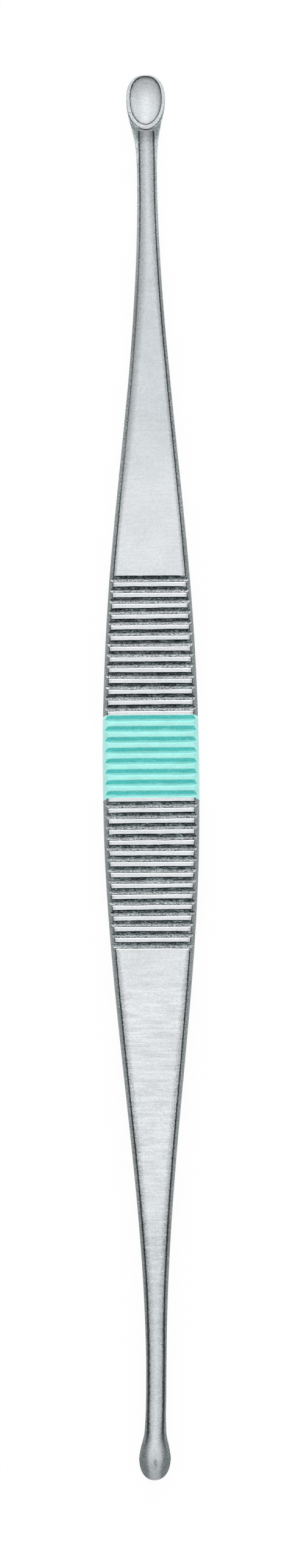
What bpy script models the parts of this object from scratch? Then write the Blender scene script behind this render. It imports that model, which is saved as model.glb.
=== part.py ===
"""Double-ended curette: a flat ribbed steel handle, an oval spoon, a round spoon and a colour band.

The tool lies on its back along Y. The oval spoon is at +Y and opens upwards, the round spoon is
at -Y and opens downwards. The origin is under the middle of the tool, on the surface it rests on.
"""

import math

import bmesh
import bpy
from mathutils import Vector

MM = 0.001

# Whole tool
TOOL_LENGTH = 140.0 * MM

# Handle: a flat grip that narrows to a slender neck at each end
GRIP_WIDTH = 9.55 * MM
GRIP_THICKNESS = 2.4 * MM
NECK_WIDTH = 1.97 * MM
NECK_THICKNESS = 1.9 * MM
NECK_REACH = 60.4 * MM
TAPER_EXPONENT = 1.03

# Handle sides: they lean in from the parting line at mid-thickness to each face
GRIP_SIDE_LEAN = 0.45 * MM
NECK_SIDE_LEAN = 0.28 * MM
GRIP_EDGE_ROUNDING = 0.12 * MM
OVAL_NECK_EDGE_ROUNDING = 0.12 * MM
ROUND_NECK_EDGE_ROUNDING = 0.30 * MM

# Grip ribs: straight V grooves across both faces
GROOVE_COUNT = 35
GROOVE_PITCH = 1.076 * MM
GROOVE_WIDTH = 0.64 * MM
GROOVE_DEPTH = 0.42 * MM
GROOVES_CENTRE = 0.64 * MM

# Colour band: a thin sleeve over some of the grooves, counted from the oval spoon's end
GROOVES_BEFORE_BAND_COUNT = 13
BAND_GROOVE_COUNT = 8
BAND_WALL = 0.08 * MM
BAND_SEAT_CLEARANCE = 0.02 * MM
BAND_LAP = 0.06 * MM
BAND_GROOVE_WIDTH = 0.56 * MM
BAND_GROOVE_DEPTH = 0.30 * MM

# Oval spoon. A bowl or a cavity is part of an egg shape, which is widest at its lip height above
# the rim, and at the tip reach from the tip
OVAL_FLARE_LENGTH = 7.0 * MM
OVAL_FLARE_SET_IN = 0.10 * MM
OVAL_BOWL_WIDTH = 3.85 * MM
OVAL_BOWL_LENGTH = 5.58 * MM
OVAL_TIP_REACH = 2.49 * MM
OVAL_BOWL_DEPTH = 2.2 * MM
OVAL_RIM_RISE = 0.25 * MM
OVAL_CAVITY_DEPTH = 1.3 * MM
OVAL_CAVITY_LIP = 1.0 * MM
OVAL_RIM_SIDE_WALL = 0.33 * MM
OVAL_RIM_TIP_WALL = 0.14 * MM
OVAL_RIM_NECK_WALL = 0.46 * MM
OVAL_BELLY_LIFT = 0.30 * MM
OVAL_TIP_FULLNESS = 2.35

# Round spoon
ROUND_FLARE_LENGTH = 4.85 * MM
ROUND_FLARE_SET_IN = 0.25 * MM
ROUND_BOWL_WIDTH = 3.03 * MM
ROUND_BOWL_LENGTH = 4.24 * MM
ROUND_TIP_REACH = 2.12 * MM
ROUND_BOWL_DEPTH = 2.0 * MM
ROUND_RIM_RISE = 0.15 * MM
ROUND_CAVITY_DEPTH = 1.15 * MM
ROUND_CAVITY_LIP = 0.8 * MM
ROUND_RIM_SIDE_WALL = 0.28 * MM
ROUND_RIM_TIP_WALL = 0.18 * MM
ROUND_RIM_NECK_WALL = 0.40 * MM
ROUND_BELLY_LIFT = 0.15 * MM
ROUND_TIP_FULLNESS = 2.2

# Both spoons: a short plain stub of neck, which then runs into the back of the bowl
NECK_STUB_LENGTH = 0.5 * MM
FLARE_EXPONENT = 1.8
FLARE_EDGE_ROUNDING = 0.70 * MM
SHOULDER_DROP = 0.35 * MM
BOWL_LIP = 0.10 * MM

# Fits and cuts
NECK_JOINT_CLEARANCE = 0.05 * MM
CUT_OVERRUN = 0.5 * MM

# A rounded edge takes up at most this share of the side or the half face that it runs out on
EDGE_LIMIT_SHARE = 0.95

# Mesh fineness
TAPER_STATIONS = 16
FLARE_STATIONS = 9
BOWL_SEGMENTS = 40
BOWL_RINGS = 20
SMOOTH_ANGLE = math.radians(24.0)

STEEL_COLOUR = (0.66, 0.68, 0.69, 1.0)
BAND_COLOUR = (0.24, 0.74, 0.69, 1.0)


def remove_all_objects():
    for item in list(bpy.data.objects):
        bpy.data.objects.remove(item)


def new_collection(name):
    collection = bpy.data.collections.new(name)
    bpy.context.scene.collection.children.link(collection)
    return collection


def principled(name, colour, roughness, metallic):
    material = bpy.data.materials.new(name)
    material.use_nodes = True
    shader = material.node_tree.nodes["Principled BSDF"]
    shader.inputs["Base Color"].default_value = colour
    shader.inputs["Roughness"].default_value = roughness
    shader.inputs["Metallic"].default_value = metallic
    return material


def blend(neck_value, grip_value, share):
    """Goes from the neck's value at share 0 to the grip's value at share 1."""
    return neck_value + (grip_value - neck_value) * share


def cosine_fall(share):
    """Falls from 1 to 0 along half a cosine wave while share goes from 0 to 1."""
    return 0.5 * (1.0 + math.cos(math.pi * min(max(share, 0.0), 1.0)))


def width_share(y):
    """1 at mid-length and 0 at the necks, where the handle is narrowest."""
    along = min(abs(y) / NECK_REACH, 1.0)
    return cosine_fall(along ** TAPER_EXPONENT)


def parallel_reach():
    """Distance from mid-length over which the two ribbed faces stay parallel."""
    return abs(GROOVES_CENTRE) + GROOVE_PITCH * GROOVE_COUNT / 2


def thickness_share(y):
    start = parallel_reach()
    return cosine_fall((abs(y) - start) / (NECK_REACH - start))


def section(half_width, half_face, top, bottom, widest_height, edge):
    """Closed outline of (x, z) points: leaning sides, flat faces and rounded edges between them."""
    quarters = []
    for face_height in (top, bottom):
        corner = Vector((half_face, face_height))
        down_side = Vector((half_width, widest_height)) - corner
        reach = min(edge, EDGE_LIMIT_SHARE * down_side.length, EDGE_LIMIT_SHARE * half_face)
        on_side = corner + down_side.normalized() * reach
        on_face = corner - Vector((reach, 0.0))
        halfway = (on_side + 2.0 * corner + on_face) / 4.0
        quarters.append((on_side, halfway, on_face))
    upper, lower = quarters
    right_half = [*reversed(lower), Vector((half_width, widest_height)), *upper]
    left_half = [Vector((-point.x, point.y)) for point in reversed(right_half)]
    return right_half + left_half


def shank_sizes(y, neck_edge):
    """Half width, half width of the face, half height and edge rounding of the shank at y."""
    width_part = width_share(y)
    half_width = blend(NECK_WIDTH, GRIP_WIDTH, width_part) / 2
    lean = blend(NECK_SIDE_LEAN, GRIP_SIDE_LEAN, width_part)
    half_height = blend(NECK_THICKNESS, GRIP_THICKNESS, thickness_share(y)) / 2
    edge = blend(neck_edge, GRIP_EDGE_ROUNDING, width_part)
    return half_width, half_width - lean, half_height, edge


def handle_section(y, offset):
    """The handle's outline at y, grown outwards by offset."""
    neck_edge = OVAL_NECK_EDGE_ROUNDING if y > 0.0 else ROUND_NECK_EDGE_ROUNDING
    half_width, half_face, half_height, edge = shank_sizes(y, neck_edge)
    height = half_height + offset
    return section(half_width + offset, half_face + offset, height, -height, 0.0, edge)


def neck_joint(tip_reach, flare_length):
    """Distance from mid-length to where a spoon's piece starts."""
    return TOOL_LENGTH / 2 - tip_reach - flare_length - NECK_STUB_LENGTH


def loft(name, stations, outline_at):
    """A closed mesh through the outlines at the stations, which are places along Y."""
    mesh = bpy.data.meshes.new(name)
    shape = bmesh.new()
    rings = [[shape.verts.new((x, y, z)) for x, z in outline_at(y)] for y in stations]
    for ring, following in zip(rings, rings[1:]):
        for index in range(len(ring)):
            after = (index + 1) % len(ring)
            shape.faces.new((ring[index], ring[after], following[after], following[index]))
    shape.faces.new(rings[0])
    shape.faces.new(rings[-1])
    bmesh.ops.recalc_face_normals(shape, faces=shape.faces)
    shape.to_mesh(mesh)
    shape.free()
    return mesh


def evenly(start, end, count):
    """Places from start up to, but not at, the end."""
    return [start + (end - start) * index / count for index in range(count)]


def add_object(name, mesh, collection, axis):
    mesh.shade_smooth()
    mesh.set_sharp_from_angle(angle=SMOOTH_ANGLE)
    item = bpy.data.objects.new(name, mesh)
    collection.objects.link(item)
    item.parent = axis
    return item


def add_cutter(name, mesh, collection, axis):
    cutter = add_object(name, mesh, collection, axis)
    cutter.hide_render = True
    cutter.display_type = "WIRE"
    return cutter


def boolean(item, tool, operation):
    modifier = item.modifiers.new(tool.name, "BOOLEAN")
    modifier.operation = operation
    modifier.object = tool
    modifier.solver = "EXACT"


def groove_places():
    """Middle of each groove along Y, from the oval spoon's end to the round spoon's end."""
    first = GROOVES_CENTRE + GROOVE_PITCH * (GROOVE_COUNT - 1) / 2
    return [first - GROOVE_PITCH * index for index in range(GROOVE_COUNT)]


def groove_bars(name, places, width, depth, face_height):
    """Bars with a V-shaped edge, one across each face at each place."""
    mesh = bpy.data.meshes.new(name)
    shape = bmesh.new()
    half_span = GRIP_WIDTH / 2 + CUT_OVERRUN
    profile = [
        (0.0, face_height - depth),
        (width / 2, face_height),
        (width / 2, face_height + CUT_OVERRUN),
        (-width / 2, face_height + CUT_OVERRUN),
        (-width / 2, face_height),
    ]
    for place in places:
        for side in (1.0, -1.0):
            corners = [shape.verts.new((-half_span, place + y, side * z)) for y, z in profile]
            end = shape.faces.new(corners)
            swept = bmesh.ops.extrude_face_region(shape, geom=[end])["geom"]
            far_corners = [part for part in swept if isinstance(part, bmesh.types.BMVert)]
            bmesh.ops.translate(shape, verts=far_corners, vec=(2.0 * half_span, 0.0, 0.0))
    bmesh.ops.recalc_face_normals(shape, faces=shape.faces)
    shape.to_mesh(mesh)
    shape.free()
    return mesh


def make_handle(parts, cutters, axis):
    """The steel shank: grip, tapers and necks, up to where each spoon starts."""
    oval_end = neck_joint(OVAL_TIP_REACH, OVAL_FLARE_LENGTH) - NECK_JOINT_CLEARANCE
    round_end = NECK_JOINT_CLEARANCE - neck_joint(ROUND_TIP_REACH, ROUND_FLARE_LENGTH)
    places = groove_places()
    lands = [place + GROOVE_PITCH / 2 for place in places] + [places[-1] - GROOVE_PITCH / 2]
    stations = (
        evenly(oval_end, lands[0], TAPER_STATIONS)
        + lands
        + list(reversed(evenly(round_end, lands[-1], TAPER_STATIONS)))
    )
    mesh = loft("handle", stations, lambda y: handle_section(y, 0.0))
    handle = add_object("handle", mesh, parts, axis)
    handle.data.materials.append(principled("handle_steel", STEEL_COLOUR, 0.34, 1.0))
    bars = groove_bars("rib_grooves", places, GROOVE_WIDTH, GROOVE_DEPTH, GRIP_THICKNESS / 2)
    boolean(handle, add_cutter("rib_grooves", bars, cutters, axis), "DIFFERENCE")


def make_colour_band(parts, cutters, axis):
    """A thin sleeve that follows the ribs, with shallower and softer grooves of its own."""
    covered = groove_places()[GROOVES_BEFORE_BAND_COUNT:GROOVES_BEFORE_BAND_COUNT + BAND_GROOVE_COUNT]
    reach = GROOVE_WIDTH / 2 + BAND_LAP
    oval_edge = covered[0] + reach
    round_edge = covered[-1] - reach
    lands = [place - GROOVE_PITCH / 2 for place in covered[:-1]]
    outside = BAND_SEAT_CLEARANCE + BAND_WALL

    mesh = loft("colour_band", [oval_edge, *lands, round_edge], lambda y: handle_section(y, outside))
    band = add_object("colour_band", mesh, parts, axis)
    band.data.materials.append(principled("band_coating", BAND_COLOUR, 0.30, 0.0))
    outer_bars = groove_bars(
        "band_grooves", covered, BAND_GROOVE_WIDTH, BAND_GROOVE_DEPTH, GRIP_THICKNESS / 2 + outside
    )
    boolean(band, add_cutter("band_grooves", outer_bars, cutters, axis), "DIFFERENCE")

    seat_stations = [oval_edge + CUT_OVERRUN, *lands, round_edge - CUT_OVERRUN]
    seat_mesh = loft("band_seat", seat_stations, lambda y: handle_section(y, BAND_SEAT_CLEARANCE))
    seat = add_cutter("band_seat", seat_mesh, cutters, axis)
    seat_height = GRIP_THICKNESS / 2 + BAND_SEAT_CLEARANCE
    seat_bars = groove_bars("seat_grooves", covered, GROOVE_WIDTH, GROOVE_DEPTH, seat_height)
    boolean(seat, add_cutter("seat_grooves", seat_bars, cutters, axis), "DIFFERENCE")
    boolean(band, seat, "DIFFERENCE")


def blunt(x, y, fullness):
    """Pushes a point of the unit circle out to a fuller curve on its tip side, where y is positive."""
    radius = math.hypot(x, y)
    if y <= 0.0 or radius == 0.0:
        return x, y
    power_sum = (abs(x) / radius) ** fullness + (y / radius) ** fullness
    growth = power_sum ** (-1.0 / fullness)
    return x * growth, y * growth


def bowl_mesh(name, half_width, tip_reach, neck_reach, depth, centre, fullness):
    """An egg-shaped body about its centre: fuller at the tip, and longer or shorter on the neck side."""
    mesh = bpy.data.meshes.new(name)
    shape = bmesh.new()
    bmesh.ops.create_uvsphere(shape, u_segments=BOWL_SEGMENTS, v_segments=BOWL_RINGS, radius=1.0)
    for vertex in shape.verts:
        x, y = blunt(vertex.co.x, vertex.co.y, fullness)
        reach = tip_reach if y > 0.0 else neck_reach
        vertex.co = centre + Vector((x * half_width, y * reach, vertex.co.z * depth))
    shape.to_mesh(mesh)
    shape.free()
    return mesh


def box_mesh(name, low, high):
    mesh = bpy.data.meshes.new(name)
    shape = bmesh.new()
    bmesh.ops.create_cube(shape, size=1.0)
    size = high - low
    middle = (low + high) / 2
    for vertex in shape.verts:
        offset = Vector((vertex.co.x * size.x, vertex.co.y * size.y, vertex.co.z * size.z))
        vertex.co = middle + offset
    shape.to_mesh(mesh)
    shape.free()
    return mesh


def make_spoon(parts, cutters, axis, name, sizes):
    """A short neck that flares into the back of a bowl, modelled along +Y with the bowl opening up."""
    tip = TOOL_LENGTH / 2
    bowl_centre = tip - sizes["tip_reach"]
    neck_reach = sizes["bowl_length"] - sizes["tip_reach"]
    flare_start = bowl_centre - sizes["flare_length"]
    neck_end = neck_joint(sizes["tip_reach"], sizes["flare_length"])
    rim_height = NECK_THICKNESS / 2 + sizes["rim_rise"]
    flared_half_width = sizes["bowl_width"] / 2 - sizes["flare_set_in"]

    def outline_at(y):
        share = max((y - flare_start) / sizes["flare_length"], 0.0) ** FLARE_EXPONENT
        half_width, half_face, half_height, edge = shank_sizes(y, sizes["edge"])
        half_width = blend(half_width, flared_half_width, share)
        bottom = sizes["belly_lift"] * share - half_height
        widest = (rim_height - SHOULDER_DROP) * share
        edge = blend(edge, FLARE_EDGE_ROUNDING, share)
        return section(half_width, half_face, half_height, bottom, widest, edge)

    stations = [neck_end, *evenly(flare_start, bowl_centre, FLARE_STATIONS), bowl_centre]
    spoon = add_object(name, loft(name, stations, outline_at), parts, axis)
    spoon.data.materials.append(principled(name + "_steel", STEEL_COLOUR, 0.34, 1.0))

    bowl = bowl_mesh(
        name + "_bowl",
        sizes["bowl_width"] / 2,
        sizes["tip_reach"],
        neck_reach,
        sizes["bowl_depth"] + BOWL_LIP,
        Vector((0.0, bowl_centre, rim_height + BOWL_LIP)),
        sizes["fullness"],
    )
    cavity_lip = sizes["cavity_lip"]
    cavity_height = sizes["cavity_depth"] + cavity_lip
    # How wide the cavity is at the rim, as a share of its widest
    rim_share = math.sqrt(1.0 - (cavity_lip / cavity_height) ** 2)
    cavity = bowl_mesh(
        name + "_cavity",
        (sizes["bowl_width"] / 2 - sizes["side_wall"]) / rim_share,
        (sizes["tip_reach"] - sizes["tip_wall"]) / rim_share,
        (neck_reach - sizes["neck_wall"]) / rim_share,
        cavity_height,
        Vector((0.0, bowl_centre, rim_height + cavity_lip)),
        sizes["fullness"],
    )
    clear_half_width = sizes["bowl_width"] / 2 + CUT_OVERRUN
    clear_top = rim_height + BOWL_LIP + sizes["bowl_depth"] + CUT_OVERRUN
    above_rim = box_mesh(
        name + "_above_rim",
        Vector((-clear_half_width, neck_end, rim_height)),
        Vector((clear_half_width, tip + CUT_OVERRUN, clear_top)),
    )
    boolean(spoon, add_cutter(name + "_bowl", bowl, cutters, axis), "UNION")
    boolean(spoon, add_cutter(name + "_above_rim", above_rim, cutters, axis), "DIFFERENCE")
    boolean(spoon, add_cutter(name + "_cavity", cavity, cutters, axis), "DIFFERENCE")


def add_axis(name, collection, height, rotation):
    """An empty on the tool's centre line, which carries the pieces modelled about it."""
    axis = bpy.data.objects.new(name, None)
    axis.location = (0.0, 0.0, height)
    axis.rotation_euler = (rotation, 0.0, 0.0)
    collection.objects.link(axis)
    return axis


def main():
    remove_all_objects()
    parts = new_collection("double_ended_curette")
    cutters = new_collection("cutters")
    centre_height = GRIP_THICKNESS / 2 + BAND_SEAT_CLEARANCE + BAND_WALL
    axis = add_axis("centre_line", parts, centre_height, 0.0)
    turned_axis = add_axis("turned_centre_line", parts, centre_height, math.pi)

    make_handle(parts, cutters, axis)
    make_colour_band(parts, cutters, axis)
    make_spoon(parts, cutters, axis, "oval_spoon", {
        "flare_length": OVAL_FLARE_LENGTH,
        "flare_set_in": OVAL_FLARE_SET_IN,
        "bowl_width": OVAL_BOWL_WIDTH,
        "bowl_length": OVAL_BOWL_LENGTH,
        "tip_reach": OVAL_TIP_REACH,
        "bowl_depth": OVAL_BOWL_DEPTH,
        "rim_rise": OVAL_RIM_RISE,
        "cavity_depth": OVAL_CAVITY_DEPTH,
        "cavity_lip": OVAL_CAVITY_LIP,
        "side_wall": OVAL_RIM_SIDE_WALL,
        "tip_wall": OVAL_RIM_TIP_WALL,
        "neck_wall": OVAL_RIM_NECK_WALL,
        "belly_lift": OVAL_BELLY_LIFT,
        "fullness": OVAL_TIP_FULLNESS,
        "edge": OVAL_NECK_EDGE_ROUNDING,
    })
    make_spoon(parts, cutters, turned_axis, "round_spoon", {
        "flare_length": ROUND_FLARE_LENGTH,
        "flare_set_in": ROUND_FLARE_SET_IN,
        "bowl_width": ROUND_BOWL_WIDTH,
        "bowl_length": ROUND_BOWL_LENGTH,
        "tip_reach": ROUND_TIP_REACH,
        "bowl_depth": ROUND_BOWL_DEPTH,
        "rim_rise": ROUND_RIM_RISE,
        "cavity_depth": ROUND_CAVITY_DEPTH,
        "cavity_lip": ROUND_CAVITY_LIP,
        "side_wall": ROUND_RIM_SIDE_WALL,
        "tip_wall": ROUND_RIM_TIP_WALL,
        "neck_wall": ROUND_RIM_NECK_WALL,
        "belly_lift": ROUND_BELLY_LIFT,
        "fullness": ROUND_TIP_FULLNESS,
        "edge": ROUND_NECK_EDGE_ROUNDING,
    })


main()
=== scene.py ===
"""Looks of the double-ended curette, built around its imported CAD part.

One seamless steel piece stands for the handle and both spoons, and one thin coat of colour stands
for the band. Everything is in metres, in the CAD's frame: the tool lies along Y, the oval spoon is
at +Y and opens upwards, the round spoon is at -Y and opens downwards.
"""

import math

import bmesh
import bpy
import numpy as np
from mathutils import Matrix, Vector


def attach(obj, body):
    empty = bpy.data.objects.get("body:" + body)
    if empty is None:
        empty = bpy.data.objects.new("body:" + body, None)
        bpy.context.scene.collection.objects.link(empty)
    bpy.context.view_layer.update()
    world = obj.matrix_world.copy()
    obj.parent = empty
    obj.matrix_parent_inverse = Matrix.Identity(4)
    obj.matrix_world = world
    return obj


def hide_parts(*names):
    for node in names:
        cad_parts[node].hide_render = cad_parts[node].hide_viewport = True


MM = 0.001

# Sizes, as in the part's source
TOOL_LENGTH = 140.0 * MM
GRIP_WIDTH = 9.55 * MM
GRIP_THICKNESS = 2.4 * MM
NECK_WIDTH = 1.97 * MM
NECK_THICKNESS = 1.9 * MM
NECK_REACH = 60.4 * MM
TAPER_EXPONENT = 1.03
GRIP_SIDE_LEAN = 0.45 * MM
NECK_SIDE_LEAN = 0.28 * MM
GRIP_EDGE = 0.07 * MM
OVAL_NECK_EDGE = 0.10 * MM
ROUND_NECK_EDGE = 0.30 * MM

GROOVE_COUNT = 35
GROOVE_PITCH = 1.076 * MM
GROOVE_WIDTH = 0.64 * MM
GROOVE_DEPTH = 0.42 * MM
GROOVES_CENTRE = 0.64 * MM
GROOVES_BEFORE_BAND = 13
BAND_GROOVE_COUNT = 8
BAND_OUTSIDE = 0.10 * MM
BAND_INSIDE = 0.004 * MM
BAND_LAP = 0.06 * MM
BAND_GROOVE_DEPTH = 0.30 * MM

CENTRE_HEIGHT = GRIP_THICKNESS / 2 + BAND_OUTSIDE

OVAL = {
    "flare_length": 7.0 * MM,
    "flare_set_in": 0.10 * MM,
    "bowl_width": 3.85 * MM,
    "bowl_length": 5.58 * MM,
    "tip_reach": 2.49 * MM,
    "bowl_depth": 2.2 * MM,
    "rim_rise": 0.25 * MM,
    "cavity_depth": 1.3 * MM,
    "cavity_lip": 1.0 * MM,
    "side_wall": 0.33 * MM,
    "tip_wall": 0.14 * MM,
    "neck_wall": 0.46 * MM,
    "belly_lift": 0.30 * MM,
    "fullness": 2.35,
    "top_edge": 0.30 * MM,
    "bottom_edge": 0.70 * MM,
    "blend_top": 0.14 * MM,
    "blend_under": 0.90 * MM,
    "foot_rise": 0.10 * MM,
    "foot_reach": 2.2 * MM,
}
ROUND = {
    "flare_length": 4.85 * MM,
    "flare_set_in": 0.25 * MM,
    "bowl_width": 3.03 * MM,
    "bowl_length": 4.24 * MM,
    "tip_reach": 2.12 * MM,
    "bowl_depth": 2.0 * MM,
    "rim_rise": 0.15 * MM,
    "cavity_depth": 1.15 * MM,
    "cavity_lip": 0.8 * MM,
    "side_wall": 0.28 * MM,
    "tip_wall": 0.18 * MM,
    "neck_wall": 0.40 * MM,
    "belly_lift": 0.15 * MM,
    "fullness": 2.2,
    "top_edge": 0.30 * MM,
    "bottom_edge": 0.75 * MM,
    "blend_top": 0.55 * MM,
    "blend_under": 1.10 * MM,
    "foot_rise": 0.06 * MM,
    "foot_reach": 1.6 * MM,
}
FLARE_EXPONENT = 1.8
SHOULDER_DROP = 0.35 * MM
BOWL_LIP = 0.10 * MM

# The rim is bevelled outside, over this width where its wall is thick enough, and down by the drop
RIM_BEVEL_WIDTH = 0.09 * MM
RIM_BEVEL_LIMIT = 0.4
RIM_BEVEL_DROP = 0.10 * MM

# Faces fall away a little towards their long edges
CROWN_DROP = 0.085 * MM
CROWN_REACH = 0.60 * MM

# The sides leave the faces at this slope and turn upright towards the widest place
SIDE_START_SLOPE = 1.0

# Edges are rounded over this share, at most, of the side or the face beside them
EDGE_LIMIT = 0.9
GROOVE_EDGE = 0.025 * MM
BURR_RUN = 0.15 * MM

# Mesh fineness: points of a quarter of each ring on the face, round its edge and down the side
FACE_POINTS = 14
EDGE_POINTS = 6
SIDE_POINTS = 7
FACE_SPACING = 1.25
QUARTER = FACE_POINTS + EDGE_POINTS + SIDE_POINTS
RING = 4 * QUARTER
CORNER = SIDE_POINTS + EDGE_POINTS // 2
CURVE_SAMPLES = 65

# A wandering line has this many free values, and its middle is at this one
WANDER_VALUES = 512
WANDER_START = 200.0

BOTTOM_ANGLE = -math.pi / 2
FULL_TURN = 2.0 * math.pi


def cosine_fall(share):
    """1 up to share 0 and 0 from share 1 on, along half a cosine wave."""
    return 0.5 * (1.0 + math.cos(math.pi * min(max(share, 0.0), 1.0)))


def mix(low, high, share):
    return low + (high - low) * share


def smooth_step(value, low, high):
    """0 at low and 1 at high, smoothly; low may be the greater of the two."""
    share = np.clip((value - low) / (high - low), 0.0, 1.0)
    return share * share * (3.0 - 2.0 * share)


def running_sum(steps):
    """0, and then the sum of the steps up to each one."""
    return np.concatenate(([0.0], np.cumsum(steps)))


def pulled(start, pull, end, t):
    """Curve from start to end that is pulled towards the value between them."""
    return start * (1 - t) ** 2 + pull * 2 * t * (1 - t) + end * t**2


def wander(positions, spacing, seed):
    """Smooth random values from -1 to 1 along a line, with one free value for each spacing."""
    lattice = np.random.RandomState(seed).uniform(-1.0, 1.0, WANDER_VALUES)
    place = positions / spacing + WANDER_START
    index = np.floor(place).astype(int)
    part = place - index
    part = part * part * (3.0 - 2.0 * part)
    after = lattice[(index + 1) % WANDER_VALUES]
    return lattice[index % WANDER_VALUES] * (1.0 - part) + after * part


def shank_sizes(y):
    """Half width, half face, half height and edge rounding of the shank at y."""
    width_part = cosine_fall(min(abs(y) / NECK_REACH, 1.0) ** TAPER_EXPONENT)
    start = GROOVES_CENTRE + GROOVE_PITCH * GROOVE_COUNT / 2
    thick_part = cosine_fall((abs(y) - start) / (NECK_REACH - start))
    half_width = mix(NECK_WIDTH, GRIP_WIDTH, width_part) / 2
    lean = mix(NECK_SIDE_LEAN, GRIP_SIDE_LEAN, width_part)
    half_height = mix(NECK_THICKNESS, GRIP_THICKNESS, thick_part) / 2
    neck_edge = OVAL_NECK_EDGE if y > 0.0 else ROUND_NECK_EDGE
    # The grip's edge holds until half of the narrowing is done
    edge = mix(neck_edge, GRIP_EDGE, min(1.0, 2.0 * width_part))
    return half_width, half_width - lean, half_height, edge


def quarter(half_width, half_face, height, widest, edge, cut, fineness):
    """Points (x, z) from the widest place up round the edge to the middle of the face.

    The side leaves the widest place upright and meets the face at 45 degrees or less. The
    face is cut down by cut, and the side with it. A cut below 0 leaves a burr.
    """
    lean = half_width - half_face
    crown_here = CROWN_DROP * min(1.0, half_face / (2.0 * CROWN_REACH))
    edge_height = height - crown_here
    turn_height = max(widest, edge_height - SIDE_START_SLOPE * lean)
    t = np.linspace(0.0, 1.0, CURVE_SAMPLES)
    side_x = pulled(half_face, half_width, half_width, t)
    side_z = pulled(edge_height, turn_height, widest, t)

    # The side ends at the height that its face is cut down to
    corner_z = min(edge_height, height - cut)
    t_low = np.linspace(np.interp(-corner_z, -side_z, t), 1.0, CURVE_SAMPLES)
    low_x = np.interp(t_low, t, side_x)
    low_z = np.interp(t_low, t, side_z)
    arc = running_sum(np.hypot(np.diff(low_x), np.diff(low_z)))
    edge = min(edge, EDGE_LIMIT * arc[-1], EDGE_LIMIT * low_x[0])
    places = np.linspace(arc[-1], edge, SIDE_POINTS * fineness + 1)
    up_x = np.interp(places, arc, low_x)
    up_z = np.interp(places, arc, low_z)
    corner_x = low_x[0]
    reach = min(CROWN_REACH, EDGE_LIMIT * half_face)

    def face_height(x):
        inward = corner_x - x
        crown = crown_here * np.clip(1.0 - inward / reach, 0.0, 1.0) ** 2
        burr = max(-cut, 0.0) * np.clip(inward / BURR_RUN, 0.0, 1.0)
        return height + burr - np.maximum(crown, cut)

    end_x = corner_x - edge
    s = np.linspace(0.0, 1.0, EDGE_POINTS * fineness + 1)[1:]
    round_x = pulled(up_x[-1], corner_x, end_x, s)
    round_z = pulled(up_z[-1], corner_z, face_height(end_x), s)
    share = np.linspace(0.0, 1.0, FACE_POINTS * fineness + 1)[1:] ** FACE_SPACING
    face_x = end_x * (1.0 - share)
    face_z = face_height(face_x)
    face_x[-1] = 0.0
    return np.concatenate((up_x, round_x, face_x)), np.concatenate((up_z, round_z, face_z))


def outline(half_width, half_face, top, bottom, widest, edges, cut=0.0, fineness=1):
    """Closed ring of (x, z) from the middle of the bottom, round by +X to the top and back.

    The edges are the roundings of the top and the bottom face, which are both cut down by cut.
    """
    up_x, up_z = quarter(half_width, half_face, top, widest, edges[0], cut, fineness)
    down_x, down_z = quarter(half_width, half_face, -bottom, -widest, edges[1], cut, fineness)
    right_x = np.concatenate((down_x[::-1], up_x[1:]))
    right_z = np.concatenate((-down_z[::-1], up_z[1:]))
    return (
        np.concatenate((right_x, -right_x[-2:0:-1])),
        np.concatenate((right_z, right_z[-2:0:-1])),
    )


GROOVE_FIRST = GROOVES_CENTRE + GROOVE_PITCH * (GROOVE_COUNT - 1) / 2
GROOVE_PLACES = [GROOVE_FIRST - GROOVE_PITCH * index for index in range(GROOVE_COUNT)]

# Stations across a groove, from the oval spoon's side: the place as a share of half the groove's
# width from its middle, the depth as a share of the full one, and how much a painted line shows
# there, from -1 for painted shade to 1 for a painted highlight. The cutter left a small burr on the
# round spoon's side.
GROOVE_PROFILE_SHARES = (
    (1.15, 0.0, 0.0),
    (1.06, 0.01, -1.0),
    (0.84, 0.16, -1.0),
    (0.74, 0.27, 0.0),
    (0.50, 0.56, 0.0),
    (0.20, 0.975, 0.0),
    (0.11, 0.975, 0.0),
    (-0.25, 0.75, 0.0),
    (-0.66, 0.40, 0.0),
    (-0.78, 0.26, -1.0),
    (-0.98, 0.02, -1.0),
    (-1.02, -0.03, 1.0),
    (-1.20, -0.03, 1.0),
    (-1.32, 0.0, 0.0),
)
LAND_SHARE = -1.7

# Over a groove the long edge is sharp from the first share of the full depth on, and its painted
# shade line is gone from the second on
SHARP_DEPTH_SHARE = 0.2
LINE_DEPTH_SHARE = 0.3

# Unevenness of the grooves: the spacing and the size of each wandering line, and the step of its
# seed from groove to groove. The size is a length, or for the depth a share of the depth.
EDGE_WAVE = (1.6 * MM, 0.014 * MM, 97)
EDGE_NICKS = (0.45 * MM, 0.007 * MM, 131)
BOTTOM_WAVE = (0.7 * MM, 0.028 * MM, 61)
BOTTOM_NICKS = (0.22 * MM, 0.0168 * MM, 67)
DEPTH_WAVE = (0.9 * MM, 0.05, 71)
GROOVE_TILT = 0.004
GROOVE_TILT_TURN = 7.0
BOTTOM_DEPTH_SHARE = 0.9

# Seeds of the face above and the face below, and what a groove's edge towards the oval spoon and
# its bottom add to them
FACE_SEEDS = ((1.0, 11), (-1.0, 12))
UPPER_EDGE_SHARE = 0.3
UPPER_EDGE_SEED = 40
BOTTOM_SEED = 5

# Unevenness starts at this share of the half height, and is full past the run
UNEVEN_FROM = 0.35
UNEVEN_RUN = 0.3


def groove_rings():
    """(y, depth, share, line, index) of the rings over the ribs, from +Y to -Y."""
    half = GROOVE_WIDTH / 2
    rings = []
    for index, place in enumerate(GROOVE_PLACES):
        for share, depth, line in GROOVE_PROFILE_SHARES:
            rings.append((place + share * half, depth * GROOVE_DEPTH, share, line, index))
        if index + 1 < GROOVE_COUNT:
            rings.append((place + LAND_SHARE * half, 0.0, LAND_SHARE, 0.0, index))
    return rings


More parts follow.
